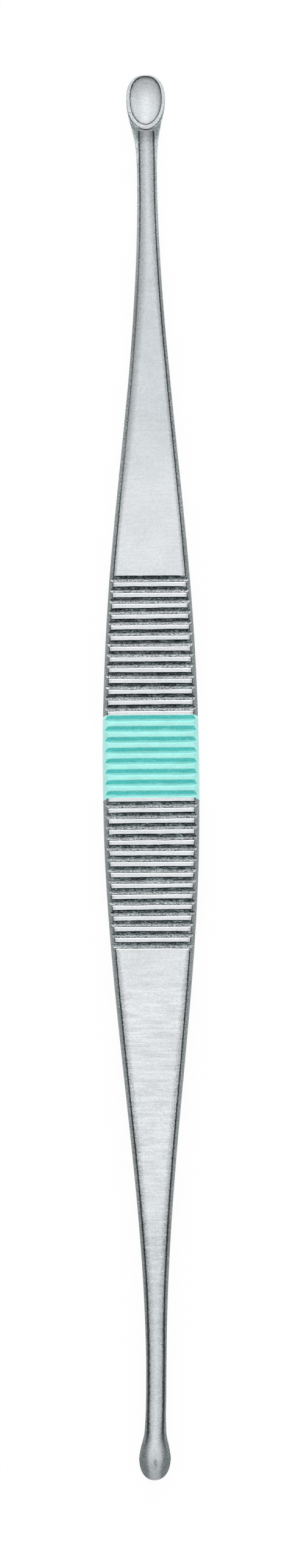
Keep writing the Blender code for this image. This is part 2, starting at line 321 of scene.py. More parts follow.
def uneven(xs, lines, index, seed):
    """Sum of these wandering lines over the groove of this index."""
    return sum(size * wander(xs, spacing, step * index + seed) for spacing, size, step in lines)


def shank_ring(y, offset=0.0, depth=0.0, share=0.0, index=None):
    """Ring of points of the shank at y, with both faces cut down by depth, in the CAD's frame."""
    half_width, half_face, half_height, edge = shank_sizes(y)
    if depth > 0.0:
        edge = mix(edge, GROOVE_EDGE, min(1.0, depth / (SHARP_DEPTH_SHARE * GROOVE_DEPTH)))
    height = half_height + offset
    xs, zs = outline(half_width + offset, half_face + offset, height, -height, 0.0, (edge, edge), depth)
    ys = np.full(xs.shape, y)
    if index is None:
        return np.stack((xs, ys, zs), axis=1)
    on_face = np.clip((np.abs(zs) - UNEVEN_FROM * half_height) / (UNEVEN_RUN * half_height), 0.0, 1.0)
    for side, seed in FACE_SEEDS:
        here = (np.sign(zs) == side) * on_face
        if share > LAND_SHARE:
            edge_seed = seed + (UPPER_EDGE_SEED if share > UPPER_EDGE_SHARE else 0)
            tilt = xs * GROOVE_TILT * math.sin(GROOVE_TILT_TURN * index + seed)
            ys = ys + here * (tilt + uneven(xs, (EDGE_WAVE, EDGE_NICKS), index, edge_seed))
        if depth > 0.0:
            inside = min(1.0, depth / (BOTTOM_DEPTH_SHARE * GROOVE_DEPTH))
            bottom = uneven(xs, (BOTTOM_WAVE, BOTTOM_NICKS), index, seed + BOTTOM_SEED)
            ys = ys + here * inside * bottom
            zs = zs - here * side * depth * uneven(xs, (DEPTH_WAVE,), index, seed)
    return np.stack((xs, ys, zs), axis=1)


# How fast the rounding of the flare's edges changes from the neck's to the bowl's
TOP_EDGE_CHANGE = 2.5
BOTTOM_EDGE_CHANGE = 1.6

# How far into the bowl the rise at its foot goes on, and how far the neck reaches into the bowl
FOOT_LAP = 0.4 * MM
NECK_END_SHARE = 0.22

# The neck flows softly into the bowl below the first height, and tightly above the second
BLEND_HEIGHTS = (-0.2 * MM, 0.75 * MM)

# How finely the neck is tabulated, and how finely the solid is searched
ANGLES = 1441
STATIONS = 120
TABLE_FINENESS = 8
BEFORE_FLARE = 1.0 * MM
CAST_STEPS = 260
CAST_HALVINGS = 24
NECK_CAST = 3.0 * MM
FAN_CAST = 5.0 * MM
FAN_TILTS = 400
FAN_STEPS = 1200
FAN_REACH = 9.0 * MM
RIM_ANGLES = 721

# Rings of a spoon: upright ones up to a little before the bowl's foot, a fan of them round the
# back, then the rim's bevel as (inward, rise), its land, and the cavity
UPRIGHT_RINGS = 22
PIVOT_BACK = 0.16 * MM
FANS = 58
FAN_BY_ARC = 0.72
RIM_BEVEL_SHARES = ((0.10, 0.22), (0.50, 0.62), (0.86, 0.93), (1.0, 1.0))
RIM_LAND_SHARES = (0.15, 0.85)
RIM_RINGS = len(RIM_BEVEL_SHARES) + len(RIM_LAND_SHARES)
CAVITY_RINGS = 24

# The flare of the oval spoon is a little fuller than its law, by these amounts in mm at these
# places along the tool. They fade in below the rim and away from the middle.
FLARE_PUSH_PLACES = (63.2, 64.0, 64.5, 64.9, 65.4, 65.8, 66.3, 66.8, 67.8)
FLARE_PUSHES = (0.0, 0.05, 0.095, 0.12, 0.13, 0.13, 0.09, 0.05, 0.0)
PUSH_DROPS = (0.06 * MM, 0.40 * MM)
PUSH_FROM_MIDDLE = (0.4 * MM, 1.2 * MM)


def blunted(x, y, fullness):
    """Length of the point (x, y) in a norm that is fuller than a circle where y is positive."""
    plain = np.hypot(x, y)
    full = (np.abs(x) ** fullness + np.abs(y) ** fullness) ** (1.0 / fullness)
    return np.where(y > 0.0, full, plain)


class Spoon:
    """A neck that flares into a bowl, along +Y with the bowl opening up, as signed distances."""

    def __init__(self, sizes):
        self.sizes = sizes
        self.tip = TOOL_LENGTH / 2
        self.centre = self.tip - sizes["tip_reach"]
        self.neck_reach = sizes["bowl_length"] - sizes["tip_reach"]
        self.flare_start = self.centre - sizes["flare_length"]
        self.rim = NECK_THICKNESS / 2 + sizes["rim_rise"]
        self.foot = self.tip - sizes["bowl_length"]
        self.pivot = np.array((0.0, self.foot - PIVOT_BACK, self.rim - RIM_BEVEL_DROP))
        self.angles = np.linspace(BOTTOM_ANGLE, BOTTOM_ANGLE + FULL_TURN, ANGLES)
        self.stations = np.linspace(self.flare_start - BEFORE_FLARE, self.centre, STATIONS)
        self.radii = np.stack([self.radius_row(y) for y in self.stations])

    def section(self, y, fineness=1):
        """Outline of the neck and its flare at y."""
        sizes = self.sizes
        share = max((y - self.flare_start) / sizes["flare_length"], 0.0) ** FLARE_EXPONENT
        half_width, half_face, half_height, edge = shank_sizes(y if sizes is OVAL else -y)
        half_width = mix(half_width, sizes["bowl_width"] / 2 - sizes["flare_set_in"], share)
        bottom = sizes["belly_lift"] * share - half_height
        widest = (self.rim - SHOULDER_DROP) * share
        near = float(smooth_step(y, self.foot - sizes["foot_reach"], self.foot + FOOT_LAP))
        top = half_height + sizes["foot_rise"] * near**2
        top_edge = mix(edge, sizes["top_edge"], min(1.0, TOP_EDGE_CHANGE * share))
        bottom_edge = mix(edge, sizes["bottom_edge"], min(1.0, BOTTOM_EDGE_CHANGE * share))
        edges = (top_edge, bottom_edge)
        return outline(half_width, half_face, top, bottom, widest, edges, fineness=fineness)

    def radius_row(self, y):
        """Radius of the neck at y for each of the angles."""
        xs, zs = self.section(y, fineness=TABLE_FINENESS)
        angle = np.arctan2(zs, xs)
        angle = np.where(angle < BOTTOM_ANGLE - 1e-9, angle + FULL_TURN, angle)
        angle[0] = BOTTOM_ANGLE
        radius = np.hypot(xs, zs)
        order = np.argsort(angle)
        angle = np.append(angle[order], BOTTOM_ANGLE + FULL_TURN)
        radius = np.append(radius[order], radius[0])
        return np.interp(self.angles, angle, radius)

    def neck_distance(self, x, y, z):
        angle = np.arctan2(z, x)
        angle = np.where(angle < BOTTOM_ANGLE, angle + FULL_TURN, angle)
        column = (angle - self.angles[0]) / (self.angles[1] - self.angles[0])
        row = (y - self.stations[0]) / (self.stations[1] - self.stations[0])
        # Places past the table are read just short of its last row or column
        row = np.clip(row, 0.0, STATIONS - 1.001)
        column = np.clip(column, 0.0, ANGLES - 1.001)
        r0, c0 = row.astype(int), column.astype(int)
        rf, cf = row - r0, column - c0
        low = self.radii[r0, c0] * (1 - cf) + self.radii[r0, c0 + 1] * cf
        high = self.radii[r0 + 1, c0] * (1 - cf) + self.radii[r0 + 1, c0 + 1] * cf
        radius = low * (1 - rf) + high * rf
        beyond = np.clip((y - self.centre) / (NECK_END_SHARE * self.sizes["bowl_length"]), 0.0, None)
        return (np.sqrt((np.hypot(x, z) / radius) ** 2 + beyond**2) - 1.0) * radius

    def bowl_distance(self, x, y, z):
        a = self.sizes["bowl_width"] / 2
        b = np.where(y > self.centre, self.sizes["tip_reach"], self.neck_reach)
        d = self.sizes["bowl_depth"] + BOWL_LIP
        qx, qy, qz = x / a, (y - self.centre) / b, (z - self.rim - BOWL_LIP) / d
        size = np.sqrt(blunted(qx, qy, self.sizes["fullness"]) ** 2 + qz**2)
        slope = np.sqrt((qx / a) ** 2 + (qy / b) ** 2 + (qz / d) ** 2)
        return size * (size - 1.0) / np.maximum(slope, 1e-6)

    def distance(self, x, y, z):
        neck = self.neck_distance(x, y, z)
        bowl = self.bowl_distance(x, y, z)
        height = smooth_step(z, *BLEND_HEIGHTS)
        k = self.sizes["blend_under"] * (1 - height) + self.sizes["blend_top"] * height
        gap = np.clip(k - np.abs(neck - bowl), 0.0, None) / k
        return np.minimum(neck, bowl) - gap * gap * k / 4

    def cast(self, origin, directions, reach):
        """First place from the origin along each direction where the solid ends."""
        steps = np.linspace(0.0, reach, CAST_STEPS)
        points = origin + directions[:, None, :] * steps[None, :, None]
        outside = self.distance(points[..., 0], points[..., 1], points[..., 2]) > 0.0
        outside[:, 0] = False
        first = np.argmax(outside, axis=1)
        first = np.where(outside.any(axis=1), first, len(steps) - 1)
        high = steps[first]
        low = steps[np.maximum(first - 1, 0)]
        for _ in range(CAST_HALVINGS):
            middle = (low + high) / 2
            at = origin + directions * middle[:, None]
            inside = self.distance(at[:, 0], at[:, 1], at[:, 2]) <= 0.0
            low = np.where(inside, middle, low)
            high = np.where(inside, high, middle)
        return origin + directions * ((low + high) / 2)[:, None]

    def rings(self):
        """Rings from the start of the flare over the back to the rim, and those of the cavity."""
        result = self.upright_rings()
        fan_rings, rim_angles = self.fan_rings()
        result += fan_rings
        if self.sizes is OVAL:
            result = [self.fuller(ring) for ring in result]
        inner = self.cavity_ring(rim_angles, 1.0)
        inner[:, 2] = self.rim
        result += self.rim_rings(result[-1], inner)
        turns = [index / CAVITY_RINGS * math.pi / 2 for index in range(1, CAVITY_RINGS)]
        return result, [inner] + [self.cavity_ring(rim_angles, math.cos(turn)) for turn in turns]

    def upright_rings(self):
        """Rings straight across the neck, from the start of the flare on."""
        result = []
        for index in range(UPRIGHT_RINGS):
            y = mix(self.flare_start, self.pivot[1], index / UPRIGHT_RINGS)
            xs, zs = self.section(y)
            spread = np.hypot(xs, zs)
            directions = np.stack((xs / spread, np.zeros(RING), zs / spread), axis=1)
            result.append(self.cast(np.array((0.0, y, 0.0)), directions, NECK_CAST))
        return result

    def fan_rings(self):
        """Rings in planes that turn about the pivot from upright to level, and the last one's angles."""
        xs, zs = self.section(self.pivot[1])
        neck_angles = np.unwrap(np.arctan2(zs, xs))
        neck_angles += BOTTOM_ANGLE - neck_angles[0]
        tilts = np.linspace(0.0, math.pi / 2, FAN_TILTS)
        reach = np.linspace(0.0, FAN_REACH, FAN_STEPS)
        ends = []
        for tilt in tilts:
            y = self.pivot[1] + reach * math.sin(tilt)
            z = self.pivot[2] - reach * math.cos(tilt)
            inside = np.nonzero(self.distance(np.zeros_like(y), y, z) <= 0.0)[0]
            ends.append((reach[inside[0]], reach[inside[-1]]))
        tops, bottoms = np.array(ends).T

        # The planes are spread partly by the run over the back and partly by their tilt
        arc = running_sum(np.hypot(np.diff(bottoms * np.sin(tilts)), np.diff(bottoms * np.cos(tilts))))
        measure = FAN_BY_ARC * arc / arc[-1] + (1.0 - FAN_BY_ARC) * tilts / tilts[-1]
        result = []
        rim_angles = None
        for index in range(FANS, -1, -1):
            tilt = float(np.interp(index / FANS, measure, tilts))
            middle = float(np.interp(tilt, tilts, tops) + np.interp(tilt, tilts, bottoms)) / 2
            down = np.array((0.0, math.sin(tilt), -math.cos(tilt)))
            centre = self.pivot + down * middle
            if rim_angles is None:
                dense = np.linspace(BOTTOM_ANGLE, BOTTOM_ANGLE + FULL_TURN, RIM_ANGLES)
                edge = self.fan(centre, down, dense)
                run = running_sum(np.linalg.norm(np.diff(edge, axis=0), axis=1))
                rim_angles = np.interp(np.linspace(0.0, run[-1], RING + 1)[:-1], run, dense)
            share = float(smooth_step(tilt, 0.0, math.pi / 2))
            result.append(self.fan(centre, down, neck_angles * (1 - share) + rim_angles * share))
        return result[::-1], rim_angles

    def fan(self, centre, down, angles):
        right = np.array((1.0, 0.0, 0.0))
        directions = np.cos(angles)[:, None] * right - np.sin(angles)[:, None] * down
        return self.cast(centre, directions, FAN_CAST)

    def fuller(self, ring):
        """The ring pushed out below the rim, where the flare runs into the bowl."""
        push = np.interp(ring[:, 1], np.array(FLARE_PUSH_PLACES) * MM, np.array(FLARE_PUSHES) * MM)
        push = push * smooth_step(self.rim - ring[:, 2], *PUSH_DROPS)
        push = push * smooth_step(np.abs(ring[:, 0]), *PUSH_FROM_MIDDLE)
        pushed = ring.copy()
        pushed[:, 0] += np.sign(ring[:, 0]) * push
        return pushed

    def rim_rings(self, outer, inner):
        """Rings of the rim between its outer and inner ones: the bevel, then the flat land."""
        wall = inner - outer
        wall[:, 2] = 0.0
        wall_width = np.linalg.norm(wall, axis=1, keepdims=True)
        bevel = np.minimum(RIM_BEVEL_WIDTH, RIM_BEVEL_LIMIT * wall_width) * wall / wall_width
        result = []
        for inward, rise in RIM_BEVEL_SHARES:
            ring = outer + bevel * inward
            ring[:, 2] = self.pivot[2] + RIM_BEVEL_DROP * rise
            result.append(ring)
        land = result[-1]
        return result + [land * (1 - share) + inner * share for share in RIM_LAND_SHARES]

    def cavity_ring(self, angles, share):
        """Ring of the cavity, from its edge at share 1 to its middle at 0."""
        sizes = self.sizes
        a = sizes["bowl_width"] / 2 - sizes["side_wall"]
        tip = sizes["tip_reach"] - sizes["tip_wall"]
        neck = self.neck_reach - sizes["neck_wall"]
        lip = sizes["cavity_lip"]
        d = sizes["cavity_depth"] + lip
        x, y = np.cos(angles), -np.sin(angles)
        size = blunted(x, y, sizes["fullness"])
        x, y = x / size, y / size
        top_share = math.sqrt(1.0 - (lip / d) ** 2)
        z = self.rim + lip - d * math.sqrt(1.0 - (share * top_share) ** 2)
        ys = self.centre + y * np.where(y > 0.0, tip, neck) * share
        return np.stack((x * a * share, ys, np.full(len(angles), z)), axis=1)


# The real tool bends sideways a little, by these shifts in mm at these places along it, and the
# middle of its grip is narrower by these shares
BENDS = (
    (-70.0, -0.25), (-67.0, -0.20), (-65.0, -0.14), (-62.0, -0.05), (-58.0, 0.0), (-50.0, 0.0),
    (-35.0, -0.03), (-15.0, -0.03), (5.0, -0.06), (20.0, -0.03), (40.0, 0.10), (52.0, 0.08),
    (62.4, 0.02), (63.8, -0.01), (65.4, -0.07), (67.0, -0.04), (70.0, -0.05),
)
NARROWINGS = ((-9.0, 0.0), (-3.0, 0.011), (9.0, 0.011), (19.0, 0.0))


def bent(points):
    """The points shifted sideways as the tool bends, and drawn in where its grip is narrower."""
    places, shifts = np.array(BENDS).T * MM
    shift = np.interp(points[:, 1], places, shifts)
    places, shares = np.array(NARROWINGS).T
    narrowing = np.interp(points[:, 1], places * MM, shares)
    points = points.copy()
    points[:, 0] = points[:, 0] * (1.0 - narrowing) + shift
    return points


def edge_gaps(ring):
    """Distance of each point of a ring from the nearest of its long edges, negative on the sides."""
    arc = running_sum(np.linalg.norm(np.diff(ring, axis=0, append=ring[:1]), axis=1))[:-1]
    gaps = np.empty(RING)
    for start, corner, sign in (
        (0, QUARTER - CORNER, -1.0),
        (QUARTER, QUARTER + CORNER, 1.0),
        (2 * QUARTER, 3 * QUARTER - CORNER, -1.0),
        (3 * QUARTER, 3 * QUARTER + CORNER, 1.0),
    ):
        part = slice(start, start + QUARTER)
        gaps[part] = sign * (arc[part] - arc[corner])
    return gaps


def add_object(name, data):
    item = bpy.data.objects.new(name, data)
    bpy.context.scene.collection.objects.link(item)
    return item


def join_rings(name, rings, layers, sharp_angle, poles=()):
    """Smooth mesh through rings of the same number of points, with sharp edges past the angle.

    It ends in the two poles, each at its ring, or closes on itself if there are none. Each layer
    is a name with one number for each point of the rings. A pole takes its ring's mean.
    """
    count = len(rings)
    vertices = bent(np.concatenate(rings + [np.array([pole]) for pole, _ in poles]))
    vertices[:, 2] += CENTRE_HEIGHT
    faces = []
    for ring in range(count - 1 if poles else count):
        first = ring * RING
        second = ((ring + 1) % count) * RING
        for index in range(RING):
            after = (index + 1) % RING
            faces.append((first + index, first + after, second + after, second + index))
    for number, (_, ring) in enumerate(poles):
        first = (ring % count) * RING
        for index in range(RING):
            corner = (first + index, first + (index + 1) % RING, count * RING + number)
            faces.append(corner if ring == 0 else corner[::-1])
    mesh = bpy.data.meshes.new(name)
    mesh.from_pydata(vertices.tolist(), [], faces)
    mesh.update()
    for label, values in layers:
        ends = [float(np.mean(values[ring])) for _, ring in poles]
        flat = np.concatenate([values.ravel(), ends])
        layer = mesh.attributes.new(label, "FLOAT", "POINT")
        layer.data.foreach_set("value", flat.astype(np.float32))
    shape = bmesh.new()
    shape.from_mesh(mesh)
    bmesh.ops.recalc_face_normals(shape, faces=shape.faces)
    shape.to_mesh(mesh)
    shape.free()
    mesh.shade_smooth()
    mesh.set_sharp_from_angle(angle=math.radians(sharp_angle))
    return add_object(name, mesh)


# What the steel carries from point to point, in the order of a row after its ring: the distance
# from the long edges or from the cavity's edge, how strongly the painted shade line of an edge
# shows there, whether it is in the cavity, the painted shade or highlight line of a rib, and the
# distance from the rim's outer edge
SURFACE_VALUES = ("edge_gap", "crease", "hollow", "rib_line", "rim_gap")
RIM_FAR = 9.0 * MM
SHANK_RINGS = (58, 62)
STEEL_SHARP_ANGLE = 50.0

# Where the painted shade lines of the long edges fade out: towards the round spoon's tip, on the
# oval spoon's back, and above just short of the rim. Above they also end over this many rings of
# the fan.
ROUND_CREASE_FADE = (-68.6 * MM, -65.0 * MM)
BACK_CREASE_FADE = (64.5 * MM, 57.0 * MM)
RIM_CREASE_FADE = (0.03 * MM, 0.09 * MM)
FAN_CREASE_RINGS = 10


def spoon_rows(spoon, turned):
    """Rows of one spoon from its neck to its cavity's middle, each a ring and its surface values."""
    outside, cavity = spoon.rings()
    rim = len(outside) - 1 - RIM_RINGS
    steps = [np.linalg.norm(after - ring, axis=1) for ring, after in zip(outside, outside[1:])]
    rows = []
    for index, ring in enumerate(outside):
        from_rim = sum(steps[min(index, rim):max(index, rim)], np.zeros(RING))
        reach = np.clip((UPRIGHT_RINGS + FAN_CREASE_RINGS - index) / FAN_CREASE_RINGS, 0.0, 1.0)
        above = reach * smooth_step(from_rim, *RIM_CREASE_FADE)
        crease = np.where(ring[:, 2] > 0.0, above, smooth_step(ring[:, 1], *BACK_CREASE_FADE))
        rows.append((ring, edge_gaps(ring), crease, 0.0, 0.0, from_rim if index <= rim else -from_rim))
    gap = np.zeros(RING)
    for index, ring in enumerate(cavity):
        if index > 0:
            gap = gap + np.linalg.norm(ring - cavity[index - 1], axis=1)
        rows.append((ring, gap, 1.0, 1.0, 0.0, np.full(RING, -RIM_FAR)))
    return [turned_row(row) for row in rows] if turned else rows


def turned_row(row):
    """The row turned over to the other end of the tool, with the painted crease shade of the round
    spoon.
    """
    ring, gap, crease, hollow, line, rim_gap = row
    order = (RING // 2 - np.arange(RING)) % RING
    ring = (ring * (1.0, -1.0, -1.0))[order]
    if hollow == 0.0:
        crease = float(smooth_step(ring[:, 1].min(), *ROUND_CREASE_FADE))
    return ring, gap[order], crease, hollow, line, rim_gap[order]


def shank_row(ring, crease=1.0, line=0.0):
    return ring, edge_gaps(ring), crease, 0.0, line, np.full(RING, RIM_FAR)


def make_steel():
    oval = Spoon(OVAL)
    round_spoon = Spoon(ROUND)
    grooves = groove_rings()
    upper = np.linspace(oval.flare_start, grooves[0][0], SHANK_RINGS[0] + 2)[1:-1]
    lower = np.linspace(grooves[-1][0], -round_spoon.flare_start, SHANK_RINGS[1] + 2)[1:-1]

    rows = spoon_rows(oval, False)[::-1]
    rows += [shank_row(shank_ring(y)) for y in upper]
    for y, depth, share, line, index in grooves:
        crease = 1.0 - min(max(depth / (LINE_DEPTH_SHARE * GROOVE_DEPTH), 0.0), 1.0)
        rows.append(shank_row(shank_ring(y, 0.0, depth, share, index), crease, line))
    rows += [shank_row(shank_ring(y)) for y in lower]
    rows += spoon_rows(round_spoon, True)

    layers = [
        (label, np.stack([row[column] * np.ones(RING) for row in rows]))
        for column, label in enumerate(SURFACE_VALUES, 1)
    ]
    top_pole = (0.0, oval.centre, oval.rim - OVAL["cavity_depth"])
    low_pole = (0.0, -round_spoon.centre, ROUND["cavity_depth"] - round_spoon.rim)
    poles = ((top_pole, 0), (low_pole, -1))
    return join_rings("steel_body", [row[0] for row in rows], layers, STEEL_SHARP_ANGLE, poles)


# The coat over a groove: the place as a share of half the groove's width, the depth as a share of
# the coat's full one, and how much painted shade darkens the colour there
COAT_PROFILE_SHARES = (
    (1.25, 0.0, 0.0),
    (1.08, 0.03, 0.1),
    (0.96, 0.13, 0.9),
    (0.62, 0.48, 1.0),
    (0.28, 0.86, 1.0),
    (0.10, 0.98, 0.95),
    (-0.04, 1.0, 0.5),
    (-0.20, 0.92, 0.25),
    (-0.45, 0.68, 0.2),
    (-0.62, 0.48, 0.25),
    (-0.72, 0.36, 0.7),
    (-0.82, 0.25, 0.1),
    (-0.98, 0.10, 0.0),
    (-1.10, 0.03, 0.45),
    (-1.25, 0.0, 0.05),
)

# The coat is thinner on the sides than on the faces, and on the sides it sags towards the round
# spoon: fully at the first of these shares of a groove, and not at all at the second
COAT_SIDE_SHARE = 0.25
COAT_SAG = 0.26 * MM
COAT_SAG_SHARES = (1.0, -0.1)
COAT_SAG_START = -0.05 * MM
COAT_SAG_FULL = 0.2 * MM
COAT_EDGE = 0.10 * MM

# Each end of the coat thickens over this run, as (inset, share of the full coat), and the rings
# between the ends keep clear of it. The end by the oval spoon sags fully and the other one half.
COAT_END = 0.05 * MM
COAT_END_SHARES = ((0.0, 0.55), (0.25, 0.85), (1.0, 1.0))
COAT_END_CLEAR = 1.4 * COAT_END
COAT_END_SAGS = (1.0, 0.5)

# The coat's wandering lines: spacing, size and seed
COAT_WAVES = ((1.3 * MM, 0.02 * MM, 301), (0.35 * MM, 0.012 * MM, 302))
COAT_SHARP_ANGLE = 60.0


def coat_ring(y, offset, depth, sag):
    """Ring of the coat at y, this far outside the steel and cut down by depth on the faces."""
    half_width, half_face, half_height, edge = shank_sizes(y)
    edge = max(edge, COAT_EDGE)
    side = offset * COAT_SIDE_SHARE
    height = half_height + offset
    xs, zs = outline(half_width + side, half_face + side, height, -height, 0.0, (edge, edge), depth)
    on_side = smooth_step(np.abs(xs), half_face + COAT_SAG_START, half_face + COAT_SAG_FULL)
    wave = sum(size * wander(xs, spacing, seed) for spacing, size, seed in COAT_WAVES)
    return np.stack((xs, y - sag * COAT_SAG * on_side + wave, zs), axis=1)


def coat_end(y, inward, stations, sag):
    """Rows of one end of the coat, from its very end inwards along Y."""
    places, depths = np.array([(place, depth) for place, depth, _, _ in stations[::-1]]).T
    rows = []
    for inset, share in COAT_END_SHARES:
        here = y + inward * inset * COAT_END
        depth = float(np.interp(here, places, depths)) * share
        rows.append((coat_ring(here, mix(BAND_INSIDE, BAND_OUTSIDE, share), depth, sag), 0.0))
    return rows


def make_coat():
    covered = GROOVE_PLACES[GROOVES_BEFORE_BAND:GROOVES_BEFORE_BAND + BAND_GROOVE_COUNT]
    half = GROOVE_WIDTH / 2
    high = covered[0] + half + BAND_LAP
    low = covered[-1] - half - BAND_LAP
    full, none = COAT_SAG_SHARES
    stations = [
        (place + share * half, depth * BAND_GROOVE_DEPTH, dark,
         float(np.clip((share - none) / (full - none), 0.0, 1.0)))
        for place in covered
        for share, depth, dark in COAT_PROFILE_SHARES
    ]
    stations = [station for station in stations if low < station[0] < high]
    rows = coat_end(high, -1.0, stations, COAT_END_SAGS[0])
    for y, depth, dark, sag in stations:
        if low + COAT_END_CLEAR < y < high - COAT_END_CLEAR:
            rows.append((coat_ring(y, BAND_OUTSIDE, depth, sag), dark))
    rows += coat_end(low, 1.0, stations, COAT_END_SAGS[1])[::-1]

    # Inside it follows the steel back to the start
    rows.append((shank_ring(low, BAND_INSIDE), 0.0))
    for y, depth, share, _, index in reversed(groove_rings()):
        if low < y < high:
            rows.append((shank_ring(y, BAND_INSIDE, depth, share, index), 0.0))
    rows.append((shank_ring(high, BAND_INSIDE), 0.0))
    layers = [("coat_dark", np.stack([np.full(RING, dark) for _, dark in rows]))]
    return join_rings("colour_coat", [ring for ring, _ in rows], layers, COAT_SHARP_ANGLE)


# The part of a noise's range that holds most of its values
NOISE_RANGE = (0.3, 0.7)


class Named:
    """Sockets that are kept by name."""

    def __init__(self, sockets):
        vars(self).update(sockets)


class Graph:
    """Short calls for the nodes of one material."""

    def __init__(self, name):
        self.material = bpy.data.materials.new(name)
        self.material.use_nodes = True
        self.nodes = self.material.node_tree.nodes
        self.links = self.material.node_tree.links
        self.shader = self.nodes["Principled BSDF"]

    def new(self, kind, inputs=(), **settings):
        node = self.nodes.new("ShaderNode" + kind)
        for name, value in settings.items():
            setattr(node, name, value)
        for name, value in dict(inputs).items():
            self.put(node.inputs[name], value)
        return node

    def put(self, socket, value):
        if isinstance(value, bpy.types.NodeSocket):
            self.links.new(value, socket)
        else:
            socket.default_value = value

    def surface(self, values):
        for name, value in values.items():
            self.put(self.shader.inputs[name], value)

    def math(self, operation, first, *others):
        """The operation on one value, on two, or on each further value in turn."""
        for value in others or (0.0,):
            first = self.new("Math", {0: first, 1: value}, operation=operation).outputs[0]
        return first

    def add(self, *values):
        return self.math("ADD", *values)

    def less(self, first, second):
        return self.math("SUBTRACT", first, second)

    def times(self, *values):
        return self.math("MULTIPLY", *values)

    def flip(self, mask):
        return self.less(1.0, mask)

    def size(self, value):
        return self.math("ABSOLUTE", value)

    def radius(self, first, second):
        """Distance of the point (first, second) from the origin."""
        return self.math("SQRT", self.add(self.times(first, first), self.times(second, second)))

    def raised(self, start, *parts):
        """Start, plus for each (mask, amount) the amount where the mask is 1."""
        return self.add(start, *(self.times(mask, amount) for mask, amount in parts))

    def span(self, value, low, high, to_low=0.0, to_high=1.0):
        """Maps value smoothly from low..high to to_low..to_high and holds it beyond."""
        node = self.new(
            "MapRange",
            {"Value": value, "From Min": low, "From Max": high, "To Min": to_low, "To Max": to_high},
            interpolation_type="SMOOTHSTEP",
        )
        return node.outputs["Result"]

    def turn(self, mask, at_0, at_1):
        """Maps a mask from 0..1 to at_0..at_1."""
        return self.span(mask, 0.0, 1.0, at_0, at_1)

    def vary(self, noise, low, high):
        """Maps a noise to low..high."""
        return self.span(noise, *NOISE_RANGE, low, high)

    def swing(self, noise, *amounts):
        """1, give or take the amounts' product as the noise goes."""
        return self.add(1.0, self.times(self.less(noise, 0.5), *amounts))

    def spans(self, value, table, origin=0.0):
        """A mask for each row of a table of places in mm from the origin."""
        return Named({
            name: self.span(value, origin + low * MM, origin + high * MM)
            for name, (low, high) in table.items()
        })

    def place(self):
        return self.new("TexCoord").outputs["Object"]

    def normal(self):
        return self.split(self.new("NewGeometry").outputs["Normal"])

    def attribute(self, label):
        return self.new("Attribute", attribute_name=label).outputs["Fac"]

    def split(self, vector):
        return self.new("SeparateXYZ", {0: vector}).outputs

    def noise(self, vector, scale, detail, roughness):
        inputs = {"Vector": vector, "Scale": scale, "Detail": detail, "Roughness": roughness}
        return self.new("TexNoise", inputs).outputs[0]

    def noises(self, vector, table):
        """A noise for each row of a table of stretch, scale, detail and roughness."""
        result = {}
        for name, (stretch, *settings) in table.items():
            node = self.new("VectorMath", {0: vector, 1: stretch}, operation="MULTIPLY")
            result[name] = self.noise(node.outputs[0], *settings)
        return Named(result)

    def mix(self, share, first, second):
        """Colour between first and second."""
        return self.new("Mix", {0: share, 6: first, 7: second}, data_type="RGBA").outputs[2]

    def shade(self, colour, factor):
        """Colour times a number."""
        return self.new("VectorMath", {0: colour, "Scale": factor}, operation="SCALE").outputs[0]

    def bump(self, height, distance):
        return self.new("Bump", {"Height": height, "Distance": distance, "Strength": 1.0}).outputs[0]


STEEL_FACE = (0.548, 0.567, 0.579, 1.0)
STEEL_NECK = (0.540, 0.576, 0.592, 1.0)
# Painted shade: the sides are darker than the faces
STEEL_SIDE_SHADE = (0.264, 0.294, 0.299, 1.0)
# Painted light: the cavity is much lighter than the rest of the steel
STEEL_HOLLOW_PAINTED_LIGHT = (0.905, 0.935, 0.950, 1.0)
# Painted shade on the round bulb's sides
STEEL_BULB_SIDE_SHADE = (0.201, 0.230, 0.235, 1.0)
# Painted shade along the creases of the long edges and under the oval rim
STEEL_CREASE_SHADE = (0.034, 0.046, 0.049, 1.0)
# Painted shade on the grooves' walls that face the round spoon and painted light on the others
STEEL_WALL_PAINTED_SHADE = (0.108, 0.130, 0.135, 1.0)
STEEL_WALL_PAINTED_LIGHT = (0.855, 0.900, 0.910, 1.0)
# Painted shade at the grooves' edges and a painted highlight on their burrs
STEEL_RIB_SHADE_LINE = (0.015, 0.020, 0.022, 1.0)
STEEL_BURR_HIGHLIGHT = (0.820, 0.860, 0.870, 1.0)

# Noises of the steel: the stretch on each axis, scale, detail and roughness
STEEL_NOISES = {
    "grain": ((1.0, 1.0, 1.0), 8500.0, 3.0, 0.65),
    "fine": ((1.0, 1.0, 1.0), 15000.0, 2.0, 0.7),
    "coarse": ((1.0, 1.0, 1.0), 3200.0, 3.0, 0.6),
    "cloud": ((1.0, 1.0, 1.0), 300.0, 3.0, 0.5),
    "brushed": ((0.05, 1.0, 1.0), 8000.0, 3.0, 0.6),
    "long_brushed": ((0.025, 1.0, 1.0), 2400.0, 2.0, 0.6),
    "sparkle": ((0.55, 1.0, 1.0), 11000.0, 2.0, 0.8),
    "streak": ((0.40, 1.0, 1.0), 10000.0, 3.0, 0.75),
    "patch": ((0.35, 1.0, 1.0), 2600.0, 2.0, 0.6),
    "ripples": ((0.12, 1.0, 1.0), 3000.0, 3.0, 0.6),
    "side_grain": ((1.0, 1.0, 0.3), 8000.0, 2.0, 0.8),
}

